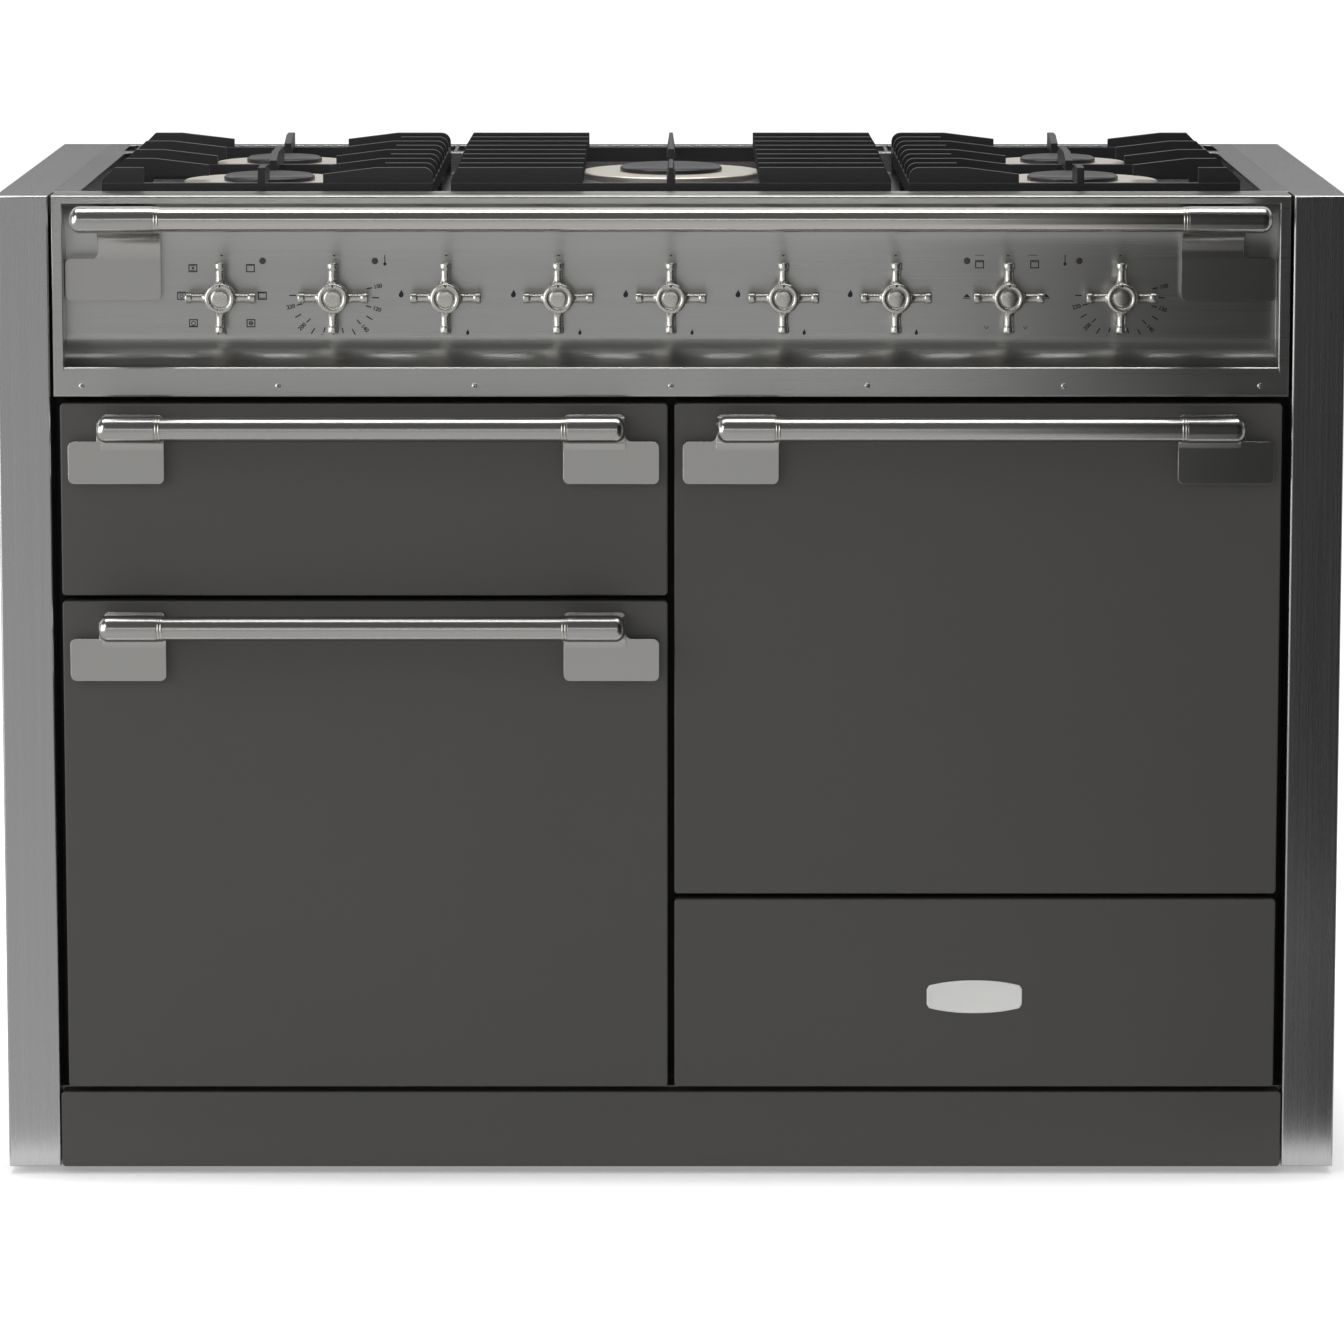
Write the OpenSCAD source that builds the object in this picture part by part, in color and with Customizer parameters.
// Free-standing dual fuel range cooker of the 48 inch class: two ovens, a grill,
// a storage drawer and a hob with five gas burners under cast pan supports.
// Millimetres. X runs to the viewer's right, Y from front to back, Z up.
// The origin is on the floor, mid plan.
// Depths named d run back from the plane of the door faces.

/* [Carcass] */
// Overall width over both side panels
overall_w = 1214; // [1180:1:1260]
// Depth of the body, from the door faces to the back edge
body_d = 608; // [600:1:630]
// Width of a side panel seen from the front
panel_w = 47.5; // [44:0.5:52]
// Thickness of the folded steel of panels and frame
sheet = 1.2; // [1:0.1:1.5]
// Thickness of the visible fronts' steel
front_sheet = 1.5; // [1.2:0.1:2]
// Gap between the floor and the panels
floor_gap = 7; // [5:1:12]
// Height of the plinth
plinth_h = 70; // [60:1:80]
// Depth of the plinth, back to the base pan's front wall
plinth_d = 22; // [18:1:26]
// Height of the floor of the base pan
base_floor_z = 22; // [18:1:28]
// Width of the folded lips of panels and base pan
lip = 30; // [24:1:36]
// Inset of the back panel from the back edge
back_inset = 34; // [30:1:40]
// Radius of a foot pad
foot_r = 24; // [20:1:28]
// Radius of the threaded stud of a foot
foot_stud_r = 6; // [5:0.5:8]
// Distance of the feet from the centre line
foot_x = 480; // [470:1:484]
// Depth of the front feet behind the door faces
foot_front_d = 80; // [60:5:100]
// Distance of the back feet ahead of the back panel
foot_back = 40; // [32:1:60]

/* [Doors and drawer] */
// Gap between two doors one above the other
door_gap = 5; // [4.6:0.1:7]
// Gap between the left and the right doors
centre_gap = 6; // [4:0.5:10]
// Gap between a door and the side panel beside it
side_gap = 8.2; // [5:0.2:12]
// Gap between the top doors and the fascia
fascia_gap = 6; // [5:0.5:9]
// Height of an oven door
oven_door_h = 450; // [430:1:470]
// Height of the grill door, which is the drawer front's too
grill_door_h = 175; // [165:1:185]
// Corner radius of doors, drawer front and plinth
door_corner_r = 3.5; // [2:0.5:6]
// Depth of the outer tray of a door
door_skin_d = 20; // [16:1:24]
// Depth of a whole door
door_d = 40; // [38:0.5:42]
// Depth of the hinge axis behind the door face
pivot_d = 10; // [9:0.5:11]
// Height of the hinge axis above the bottom edge of the door
pivot_h = 10; // [9:0.5:11]
// Radius of a hinge pin
hinge_pin_r = 3; // [2.5:0.1:3.5]
// Thickness of a hinge arm
hinge_arm_t = 5; // [4:0.5:6]
// Half height of a hinge arm
hinge_arm_r = 5; // [4.5:0.1:5.5]
// Distance of a hinge arm from the side edge of its door
hinge_inset = 30; // [24:1:36]
// How far the drawer slides out
drawer_travel = 350; // [300:10:350]
// Length of the drawer box
drawer_l = 400; // [370:1:430]
// Height of the drawer box
drawer_box_h = 130; // [110:1:136]
// Width of the drawer box
drawer_box_w = 440; // [400:1:450]
// Height of the drawer box above the lower edge of its front
drawer_lift = 21; // [16:1:30]

/* [Handles and rails] */
// Distance of a rail's axis ahead of the door faces
rail_reach = 50; // [44:1:56]
// Radius of a rail tube
rail_r = 11; // [9:0.5:11.5]
// Radius of the ferrule at a rail's end
ferrule_r = 12; // [12:0.5:14]
// Length of a ferrule on a door handle
ferrule_l = 52; // [44:1:54]
// Length of a ferrule on the fascia rail
fascia_ferrule_l = 74.5; // [60:0.5:80]
// Depth to which a rail tube enters its ferrule
socket_l = 20; // [12:1:30]
// Width of a handle plate
plate_w = 86.5; // [80:0.5:92]
// Width of the tongue that carries the ferrule
tongue_w = 56.3; // [50:0.1:60]
// Height of the wide lower part of a handle plate
plate_low_h = 38.5; // [32:0.5:42]
// Height of the narrow upper part of a door handle plate
plate_up_h = 24.5; // [22:0.5:28]
// Thickness of a door handle plate
plate_t = 8; // [6:0.5:10]
// Thickness of a fascia rail plate
fascia_plate_t = 12; // [10:0.5:14]
// Thickness of the tongue
tongue_t = 12; // [10:0.5:14]
// Corner radius of the plates
plate_r = 5.5; // [3:0.5:8]
// Distance of a handle plate from the side edge of the door
plate_inset = 7.7; // [6:0.1:12]
// Distance of a handle plate from the top edge of the door
plate_drop = 9; // [7:0.5:12]
// Height of a handle plate's top above the rail's axis
plate_over_axis = 8.4; // [7:0.1:10]

/* [Fascia] */
// Height of the fascia
fascia_h = 182; // [176:1:190]
// Depth of the fascia
fascia_d = 46; // [44:0.5:52]
// Gap between the fascia and each side panel
fascia_side_gap = 2.5; // [1:0.5:4]
// Depth of the scooped face behind the door faces
scoop_d = 28; // [24:0.5:30]
// Radius of the cove at the foot of the scoop
cove_r = 28; // [24:0.5:30]
// Radius of the brow at the top of the scoop
brow_r = 60; // [56:1:70]
// Height of the strip below the scoop
fascia_lip_h = 27; // [24:0.5:32]
// Height of the strip above the scoop
fascia_brow_h = 7; // [5:0.5:9]
// Width of the cheek that closes each end of the scoop
cheek_w = 10; // [6:0.5:14]
// Height of the fascia rail's axis below the worktop
rail_drop = 17.2; // [15:0.2:20]
// Distance of the rail plates from the ends of the fascia
fascia_plate_inset = 10.6; // [10.2:0.1:14]
// Distance of the rail's ferrules from the outer edges of the plates
fascia_rail_inset = 11.6; // [8:0.1:14]
// Distance of the upper ends of the rail plates below the worktop
fascia_plate_drop = 58; // [54:0.5:62]
// Height of the knob axes above the bottom edge of the fascia
knob_row_h = 89; // [84:0.5:94]
// Radius of an indicator lamp
lamp_r = 2.8; // [2:0.1:3.5]
// Distance of a lamp from its knob's axis, sideways
lamp_dx = 37; // [34:0.5:44]
// Height of a lamp above the knob axes
lamp_dz = 31.5; // [26:0.5:34]

/* [Knobs and taps] */
// Distance of the end knobs' axes from the fascia's sides
knob_margin = 151; // [146:0.5:170]
// Distance of a knob's back from the fascia
knob_gap = 4; // [3.9:0.1:5]
// Length of a knob
knob_l = 24; // [22:0.5:30]
// Radius of a knob's hub
hub_r = 13.8; // [12:0.1:15]
// Radius of the disc set in the hub's face
hub_disc_r = 7.6; // [6:0.1:9]
// Reach of a knob's arm from its axis
arm_reach = 32; // [28:0.5:34]
// Distance of the arms' axes behind the hub's face
arm_back = 9; // [8:0.5:10]
// Radius of a knob's arm
arm_r = 3.7; // [3:0.1:4.4]
// Radius of the collar at the end of an arm
arm_collar_r = 4.7; // [4:0.1:5.2]
// Length of that collar
arm_collar_l = 7; // [5:0.5:9]
// Travel of a gas knob when it is pushed in
knob_push = 3.5; // [2.5:0.1:3.5]
// Radius of a control spindle
spindle_r = 3; // [2.5:0.1:3.2]
// Height of the flat on a spindle, from its axis
spindle_flat = 2.2; // [1.8:0.1:2.4]
// How far a gas spindle reaches into its tap plug
spindle_grip = 6; // [5:0.5:8]
// Radius of a tap plug
plug_r = 7; // [6:0.1:8]
// Length of a tap plug
plug_l = 25; // [22:0.5:27]
// Radius of a tap body
tap_r = 13; // [12:0.5:15]
// Length of a tap body ahead of its plug
tap_nose = 5.5; // [5:0.5:7]
// Radius of the gas manifold pipe
manifold_r = 10.6; // [10:0.1:11]
// Radius of the pipe that runs back to the gas inlet
inlet_run_r = 8.5; // [8:0.1:9.4]
// Radius of the thread on the gas inlet
inlet_r = 10.5; // [10:0.1:10.9]
// Length of the thread on the gas inlet
inlet_l = 20; // [16:0.5:22]
// Distance of the gas inlet from the side panel
inlet_inset = 32; // [28:1:40]
// Distance of a tap's outlet ahead of the plug's back end
tap_out = 7; // [6:0.5:9]
// Radius of the pipes from the taps to the burners
pipe_r = 4; // [3:0.5:4.5]
// Side of an electric switch body
switch_w = 42; // [36:1:46]
// Depth of an electric switch body
switch_d = 34; // [28:0.5:36]

/* [Hob] */
// Depth of the hob from its front to its back edge
hob_d = 454; // [450:1:466]
// Depth of the well below the worktop
well_d = 20; // [18:0.5:24]
// Width of the rim at each side of the well
well_rim = 24; // [18:0.5:30]
// Thickness of the hob steel
hob_sheet = 1.5; // [1:0.1:2]
// Distance of a side burner's axis from its support's outer edge
burner_inset = 145; // [139:1:151]
// Radius of the front burners' rings
front_ring_r = 79; // [70:0.5:80]
// Radius of the back burners' rings
back_ring_r = 65; // [56:0.5:70]
// Radius of the centre burner's ring
wok_ring_r = 84; // [76:0.5:86]
// Radius of the front burners' caps
front_cap_r = 42; // [36:0.5:44]
// Radius of the back burners' caps
back_cap_r = 36; // [30:0.5:40]
// Radius of the centre burner's cap
wok_cap_r = 48; // [42:0.5:52]
// Thickness of a burner ring
ring_t = 6; // [5:0.1:7]
// Thickness of a burner cap
cap_t = 6; // [5:0.1:7]
// Number of flame ports round a burner
port_count = 24; // [16:1:36]
// Radius of a burner throat
throat_r = 14; // [12:0.5:16]
// Length of a burner throat below the hob
throat_l = 16; // [12:0.5:18]
// Height of the pan supports above the worktop
support_rise = 20; // [18:0.5:24]
// Height of the base rails of the pan supports, top edge above the worktop
rail_rise = 6; // [5:0.5:7]
// Height of a base rail
base_rail_h = 14; // [12:0.5:16]
// Thickness of a base rail
base_rail_t = 8; // [7:0.5:9]
// Distance of the last rib row from the hob's back edge
last_rib = 9.6; // [9:0.1:14]
// Thickness of a rib
rib_t = 6.5; // [5:0.5:8]
// Distance of the first rib row from the hob's front edge
first_rib = 22; // [18:0.5:26]
// Drop of the finger tips below the pan support's top
finger_drop = 6; // [4:0.5:8]
// Distance of a side burner's axis from its support's inner edge
burner_reach = 156; // [150:1:162]
// Distance of a side pan support from the side of the hob
support_side = 42.5; // [36:0.5:50]
// Gap between neighbouring pan supports
support_gap = 16; // [10:1:20]
// Inner ends of the centre pan support's ribs, from the centre line
centre_support_in = 80; // [76:1:84]
// Width of the comb on a side pan support
comb_w = 46; // [42:1:50]
// Width of a vent slot
vent_slot_w = 10.5; // [9:0.5:11]
// Length of a vent slot
vent_slot_l = 72; // [60:1:80]
// Pitch of the vent slots
vent_pitch = 13.7; // [13:0.1:15]

/* [Ovens and grill] */
// Distance of a cavity's sides from its door's sides
cavity_side = 54.15; // [50:0.05:64]
// Depth of the oven and grill cavities
cavity_d = 400; // [390:1:420]
// Height of the oven mouth's edge inside the door's edge
oven_margin = 45; // [42:1:50]
// Height of the grill mouth's edge inside the door's edge
grill_margin = 31; // [31:1:34]
// Corner radius of the cavities
cavity_r = 12; // [8:1:18]
// Thickness of the enamelled steel of a cavity
cavity_t = 1.2; // [1:0.1:1.5]
// Width of a cavity's front flange
flange_w = 18; // [14:1:20]
// Thickness of the insulation
jacket_t = 20; // [14:1:21]
// Thickness of the grill's insulation
grill_jacket_t = 15; // [12:1:17]
// Width of a door seal
seal_w = 8; // [6:0.5:8]
// Height and depth of a shelf rib on a cavity's wall
shelf_rib = 6; // [5:0.5:7]
// Number of shelf levels in an oven
shelf_levels = 5; // [4:1:5]
// Radius of the wires at a rack's edge
rack_edge_r = 3; // [2.5:0.1:3.5]
// Radius of the cross wires of a rack
rack_wire_r = 1.5; // [1.2:0.1:2]
// Number of cross wires in a rack
rack_wires = 12; // [8:1:20]
// Radius of a fan wheel
fan_r = 74; // [66:1:78]
// Depth of the space behind the fan baffle
baffle_d = 44; // [40:1:50]
// Width of a fan baffle
baffle_w = 320; // [290:1:340]
// Height of a fan baffle
baffle_h = 250; // [220:1:280]
// Radius of a fan shaft
fan_shaft_r = 4; // [3:0.1:5]
// Radius of a fan motor
motor_r = 38; // [32:1:44]
// Length of a fan motor
motor_l = 45; // [38:1:52]
// Distance of a fan motor behind the cavity
motor_gap = 20; // [16:1:24]
// Radius of a heating element's tube
element_r = 3.5; // [3:0.1:4]
// Half length of the straight legs of an element
element_half = 130; // [110:1:140]
// Pitch of the legs of an element
element_pitch = 50; // [44:1:52]
// Distance of an element's first leg behind the mouth
element_start = 60; // [50:1:66]
// Radius of the ring element round a fan
ring_element_r = 92; // [86:1:100]
// Depth of the grill pan
grill_pan_d = 320; // [280:1:330]
// Height of the grill pan
grill_pan_h = 28; // [22:1:34]

/* [Clearances] */
// Running clearance of a pin or spindle in its bore, on the radius
fit = 0.05; // [0.03:0.01:0.09]
// Clearance between two pieces that only lie on each other
seat = 0.2; // [0.15:0.05:0.3]
// Clearance of a sliding piece in its guide
slide_gap = 0.3; // [0.2:0.05:0.5]
// Clearance between soft parts and their neighbours
soft_gap = 0.3; // [0.2:0.05:0.4]
// Gap between a closed door and its seal
seal_gap = 0.4; // [0.3:0.1:0.6]
// Clearance of an arm in the slots and past the edges
arm_gap = 1; // [0.8:0.1:1.2]

/* [Hidden] */
$fn = 48;
// Overlap that lets a cutter pass through a face
eps = 1;

// Plan: the rails' front and the body's back edge are equally far from the origin
front_y = (rail_reach + ferrule_r - body_d) / 2;
panel_x = overall_w / 2 - panel_w;
door_w = panel_x - side_gap - centre_gap / 2;
cavity_w = door_w - 2 * cavity_side;
door_x = centre_gap / 2 + door_w / 2;

// Heights from the floor up
plinth_top = floor_gap + plinth_h;
low_door_z = plinth_top + door_gap;
left_grill_z = low_door_z + oven_door_h + door_gap;
right_oven_z = low_door_z + grill_door_h + door_gap;
door_top = left_grill_z + grill_door_h;
fascia_z = door_top + fascia_gap;
worktop_z = fascia_z + fascia_h;
well_z = worktop_z - well_d;
hob_under_z = well_z - hob_sheet;
support_z = worktop_z + support_rise;
frame_z = plinth_top + 1;
knob_z = fascia_z + knob_row_h;

// Depths behind the door faces
frame_d = fascia_d;
frame_back_d = frame_d + front_sheet;
frame_fold = lip - 4;
hob_back_d = fascia_d + hob_d;
back_panel_d = body_d - back_inset;
cavity_back_d = frame_back_d + cavity_d;
scoop_back_d = scoop_d + front_sheet;
knob_back_d = scoop_d - knob_gap;
tap_front_d = scoop_back_d;
plug_front_d = tap_front_d + tap_nose;
manifold_d = plug_front_d + plug_l + 4 + manifold_r + 4;
foot_rows = [foot_front_d, back_panel_d - foot_back];

// Gas pipes: the inlet's run, the taps' outlets and two heights at which the pipes cross
inlet_x = panel_x - inlet_inset;
tap_out_d = plug_front_d + plug_l - tap_out;
tap_out_z = knob_z + tap_r + 4;
pipe_low_z = tap_out_z + 2 * pipe_r;
pipe_high_z = pipe_low_z + 3 * pipe_r;

// Drawer and its runners
drawer_x = door_x;
drawer_z = low_door_z + drawer_lift;
runner_z = drawer_z + drawer_box_h / 3;
runner_rail = 8;
runner_h = 12;
runner_x = drawer_box_w / 2 + runner_rail + 1;

// Fascia scoop
cove_z = fascia_z + fascia_lip_h + cove_r;
brow_z = worktop_z - fascia_brow_h - sqrt(brow_r * brow_r - (brow_r - scoop_d) * (brow_r - scoop_d));
side_support_out = panel_x - support_side;
burner_x = side_support_out - burner_inset;
side_support_in = burner_x - burner_reach;
centre_support_out = side_support_in - support_gap;
fascia_x = panel_x - fascia_side_gap;
knob_pitch = (fascia_x - knob_margin) / 4;
fascia_rail_z = worktop_z - rail_drop;
fascia_plate_top = worktop_z - fascia_plate_drop;
fascia_plate_x = fascia_x - fascia_plate_inset;
fascia_rail_end = fascia_plate_x - fascia_rail_inset;
// Radius of the tongue's underside, which ends level with the ferrule's
tongue_bend_r = fascia_rail_z - ferrule_r - fascia_plate_top;

// Knob positions: 1, 2, 8 and 9 work switches, 3 to 7 work gas taps
function knob_x(i) = (i - 5) * knob_pitch;
electric_knobs = [1, 2, 8, 9];
gas_knobs = [3, 4, 5, 6, 7];
lamp_holes = [[1, 1], [2, 1], [8, -1], [9, -1]];

// Rib rows of the pan supports and the burners that lie under them
rib_rows = 9;
rib_pitch = (hob_d - first_rib - last_rib) / (rib_rows - 1);
function row_d(k) = fascia_d + first_rib + k * rib_pitch;
front_row = 2;
middle_row = 4;
back_row = 6;
burners = [
    [-burner_x, row_d(front_row), front_ring_r, front_cap_r],
    [burner_x, row_d(front_row), front_ring_r, front_cap_r],
    [-burner_x, row_d(back_row), back_ring_r, back_cap_r],
    [burner_x, row_d(back_row), back_ring_r, back_cap_r],
    [0, row_d(middle_row), wok_ring_r, wok_cap_r]
];
support_front_d = row_d(0) - base_rail_t / 2;
support_back_d = row_d(rib_rows - 1) + base_rail_t / 2;
base_rail_z = worktop_z + rail_rise - base_rail_h;
finger_z = worktop_z + rail_rise - 2;

// A door or drawer front is [side, bottom, height]; side is -1 left and 1 right
grill_door = [-1, left_grill_z, grill_door_h];
left_door = [-1, low_door_z, oven_door_h];
right_door = [1, right_oven_z, oven_door_h];
drawer_door = [1, low_door_z, grill_door_h];
// A cavity is [side, floor, height]
grill_hole = [-1, left_grill_z + grill_margin, grill_door_h - 2 * grill_margin];
left_hole = [-1, low_door_z + oven_margin, oven_door_h - 2 * oven_margin];
right_hole = [1, right_oven_z + oven_margin, oven_door_h - 2 * oven_margin];

// Y of a plane that lies d behind the door faces
function by(d) = front_y + d;

// Box from a corner at x, depth d and height z
module box(x, d, z, w, l, h) {
    translate([x, by(d), z]) cube([w, l, h]);
}

// Outline drawn in X and Z, made t deep from depth d
module slab(d, t) {
    translate([0, by(d) + t, 0]) rotate([90, 0, 0]) linear_extrude(t) children();
}

// Outline drawn in depth and Z, made w wide from x
module profile(x, w) {
    translate([x, front_y, 0]) rotate([90, 0, 90]) linear_extrude(w) children();
}

// Rounded rectangle from the corner x, z
module rounded(x, z, w, h, r) {
    translate([x + r, z]) square([w - 2 * r, h]);
    translate([x, z + r]) square([w, h - 2 * r]);
    for (cx = [x + r, x + w - r], cz = [z + r, z + h - r]) translate([cx, cz]) circle(r);
}

// Rods along the three axes, from one end to the other
module rod_x(x0, x1, d, z, r) {
    translate([x0, by(d), z]) rotate([0, 90, 0]) cylinder(h = x1 - x0, r = r);
}

module rod_y(x, d0, d1, z, r) {
    translate([x, by(d0), z]) rotate([-90, 0, 0]) cylinder(h = d1 - d0, r = r);
}

module rod_z(x, d, z0, z1, r) {
    translate([x, by(d), z0]) cylinder(h = z1 - z0, r = r);
}

// Profile turned round an axis along Y: first value is the radius, second the depth from d
module turned_y(x, d, z) {
    translate([x, by(d), z]) rotate([-90, 0, 0]) rotate_extrude() children();
}

module both_sides() {
    children();
    mirror([1, 0, 0]) children();
}

// Side panel, a folded tray that is open towards the ovens
module side_panel() {
    h = worktop_z - floor_gap;
    front_lip = 50;
    back_lip = 40;
    foot_lip = 75;
    head_lip = 45;
    difference() {
        box(panel_x, 0, floor_gap, panel_w, body_d, h);
        box(panel_x + sheet, sheet, floor_gap + sheet,
            panel_w - 2 * sheet, body_d - 2 * sheet, h - 2 * sheet);
        box(panel_x - eps, front_lip, floor_gap + foot_lip,
            sheet + 2 * eps, body_d - front_lip - back_lip, h - foot_lip - head_lip);
    }
}

module side_panel_left() {
    color("silver") mirror([1, 0, 0]) side_panel();
}

module side_panel_right() {
    color("silver") side_panel();
}

// Plinth, a folded front that stands on the base pan's front wall
module plinth() {
    w = panel_x - arm_gap;
    color("dimgray") difference() {
        slab(0, plinth_d) rounded(-w, floor_gap, 2 * w, plinth_h, door_corner_r);
        slab(front_sheet, plinth_d) rounded(-w + front_sheet, floor_gap + front_sheet,
            2 * (w - front_sheet), plinth_h - 2 * front_sheet, door_corner_r - 1);
    }
}

// Base pan with folded walls, lips and two bearers under the ovens
module base_pan() {
    d0 = plinth_d;
    l = back_panel_d + sheet - d0;
    h = frame_z - base_floor_z;
    bearer_x = 150;
    bearer_w = 40;
    color("darkgray") difference() {
        union() {
            difference() {
                box(-panel_x, d0, base_floor_z, 2 * panel_x, l, h);
                box(-panel_x + sheet, d0 + sheet, base_floor_z + sheet,
                    2 * (panel_x - sheet), l - 2 * sheet, h - 2 * sheet);
                box(-panel_x + lip, d0 + lip, base_floor_z + lip, 2 * (panel_x - lip), l - 2 * lip, h);
            }
            for (x = [-door_x - bearer_x, -door_x + bearer_x]) {
                difference() {
                    box(x - bearer_w / 2, d0 + sheet, base_floor_z + sheet,
                        bearer_w, l - 2 * sheet, h - sheet);
                    box(x - bearer_w / 2 + sheet, d0 + sheet - eps, base_floor_z,
                        bearer_w - 2 * sheet, l, h - sheet);
                }
            }
        }
        for (x = [-foot_x, foot_x], d = foot_rows)
            rod_z(x, d, base_floor_z - eps, base_floor_z + 2 * sheet, foot_stud_r + slide_gap);
    }
}

// Levelling feet: pad, stem and threaded stud with its nut
module feet() {
    stem_r = 10;
    stud_top = base_floor_z + 24;
    nut_r = 11;
    nut_h = 8;
    color("black") for (x = [-foot_x, foot_x], d = foot_rows) translate([x, by(d), 0]) {
        rotate_extrude() polygon([
            [0, 0], [foot_r - 2, 0], [foot_r, 2], [foot_r, 6], [foot_r - 6, 9], [stem_r, 10],
            [stem_r, base_floor_z], [foot_stud_r, base_floor_z], [foot_stud_r, stud_top], [0, stud_top]
        ]);
        translate([0, 0, base_floor_z + sheet]) cylinder(h = nut_h, r = nut_r, $fn = 6);
    }
}

// Back panel with louvres, the inlet's hole and a flange under the vent trim
module rear_panel() {
    z0 = frame_z;
    z1 = worktop_z - lip;
    louvre_z = [z0 + 90, z0 + 300, z0 + 510];
    louvre_w = 300;
    louvre_h = 28;
    louvre_out = 10;
    face = back_panel_d + sheet;
    color("darkgray") difference() {
        union() {
            box(-panel_x, back_panel_d, z0, 2 * panel_x, sheet, z1 - z0);
            box(-panel_x, back_panel_d, z1 - sheet, 2 * panel_x, back_inset - sheet - seat, sheet);
            box(-panel_x, back_panel_d - lip, z0, 2 * panel_x, lip, sheet);
            for (s = [-1, 1], z = louvre_z) {
                profile(s * door_x - louvre_w / 2, louvre_w) polygon([
                    [face, z + louvre_h], [face + louvre_out, z + 4], [face + louvre_out, z], [face, z]
                ]);
            }
        }
        for (s = [-1, 1], z = louvre_z) {
            profile(s * door_x - louvre_w / 2 + sheet, louvre_w - 2 * sheet) polygon([
                [back_panel_d - eps, z + louvre_h - 2], [face, z + louvre_h - 3],
                [face + louvre_out - sheet, z + 3.5], [face + louvre_out - sheet, z - eps],
                [back_panel_d - eps, z - eps]
            ]);
        }
        rod_y(inlet_x, back_panel_d - eps, face + sheet, knob_z, inlet_run_r + arm_gap);
    }
}

// Front frame: upright and level strips round the mouths of ovens, grill, drawer and controls
module front_frame() {
    mouth_out = door_x + cavity_w / 2;
    mouth_in = door_x - cavity_w / 2;
    side = 4;
    above = 5;
    drawer_out = drawer_x + runner_x + side;
    drawer_in = drawer_x - runner_x - side;
    drawer_low = drawer_z - above;
    drawer_top = drawer_z + drawer_box_h + above;
    post = 20;
    foot = frame_z + 12;
    controls_low = fascia_z + 12;
    controls_top = hob_under_z - 14;
    grill_top = grill_hole[1] + grill_hole[2];
    left_top = left_hole[1] + left_hole[2];
    right_top = right_hole[1] + right_hole[2];
    color("black") {
        strip(-panel_x, panel_x, frame_z, foot);
        strip(-panel_x, panel_x, controls_top, hob_under_z);
        for (z = [frame_z + seat / 2, hob_under_z - seat / 2 - front_sheet])
            box(-panel_x + seat, frame_back_d - eps, z, 2 * (panel_x - seat), frame_fold, front_sheet);
        strip(-panel_x, panel_x, grill_top, controls_low);
        both_sides() edge_strip(panel_x - post, controls_low, controls_top);
        mirror([1, 0, 0]) edge_strip(mouth_out, foot, grill_top);
        edge_strip(drawer_out, foot, grill_top);
        strip(-mouth_in, drawer_in, foot, grill_top);
        strip(-mouth_out, -mouth_in, foot, left_hole[1]);
        strip(-mouth_out, -mouth_in, left_top, grill_hole[1]);
        strip(drawer_in, drawer_out, foot, drawer_low);
        strip(drawer_in, drawer_out, drawer_top, right_hole[1]);
        strip(drawer_in, drawer_out, right_top, grill_top);
        strip(drawer_in, mouth_in, right_hole[1], right_top);
        strip(mouth_out, drawer_out, right_hole[1], right_top);
    }
}

// Strip of the front frame between two uprights and two heights, just clear of its neighbours
module strip(x0, x1, z0, z1) {
    box(x0 + seat / 2, frame_d, z0 + seat / 2, x1 - x0 - seat, front_sheet, z1 - z0 - seat);
}

// Strip at the side panel, with its edge folded back
module edge_strip(x0, z0, z1) {
    strip(x0, panel_x, z0, z1);
    box(panel_x - seat / 2 - front_sheet, frame_back_d - eps, z0 + seat / 2,
        front_sheet, lip, z1 - z0 - seat);
}

// Mouth of a cavity grown by g on every side
module cavity_outline(c, g) {
    rounded(c[0] * door_x - cavity_w / 2 - g, c[1] - g, cavity_w + 2 * g, c[2] + 2 * g, cavity_r + g);
}

// Space in front of the fascia's face, grown by g into the metal
module scoop_outline(g) {
    far = 200;
    front = -20;
    translate([front, fascia_z + fascia_lip_h - g]) square([-front + eps, cove_r]);
    translate([front, cove_z]) square([scoop_d + g - front, brow_z - cove_z]);
    intersection() {
        translate([0, cove_z]) circle(cove_r + g);
        translate([0, cove_z - far]) square([far, far + eps]);
    }
    intersection() {
        translate([scoop_d - brow_r, brow_z]) circle(brow_r + g);
        translate([front, brow_z - eps]) square([far, far]);
    }
}

// Fascia: a folded front whose face is scooped between two cheeks
module fascia() {
    inner_x = fascia_x - cheek_w;
    color("silver") difference() {
        box(-fascia_x, 0, fascia_z, 2 * fascia_x, fascia_d, fascia_h);
        profile(-inner_x, 2 * inner_x) scoop_outline(0);
        // Hollow behind the face, open at the back between two folded lips
        difference() {
            box(-fascia_x + front_sheet, front_sheet, fascia_z + front_sheet,
                2 * (fascia_x - front_sheet), fascia_d, fascia_h - 2 * front_sheet);
            profile(-inner_x - front_sheet, 2 * (inner_x + front_sheet)) scoop_outline(front_sheet);
        }
        for (i = [1 : 9]) rod_y(knob_x(i), 0, fascia_d, knob_z, spindle_r + 1.5);
        for (m = lamp_holes) rod_y(knob_x(m[0]) + m[1] * lamp_dx, 0, fascia_d, knob_z + lamp_dz, lamp_r);
    }
}

// Plate outline of a handle bracket: x from the plate's outer edge inwards, z from its foot
module bracket_outline(up_h) {
    difference() {
        union() {
            rounded(0, 0, plate_w, plate_low_h, plate_r);
            rounded(plate_w - tongue_w, 0, tongue_w, plate_low_h + up_h, plate_r);
            translate([plate_w - tongue_w - plate_r, plate_low_h - plate_r])
                square([2 * plate_r, 2 * plate_r]);
        }
        translate([plate_w - tongue_w - plate_r, plate_low_h + plate_r]) circle(plate_r);
    }
}

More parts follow.
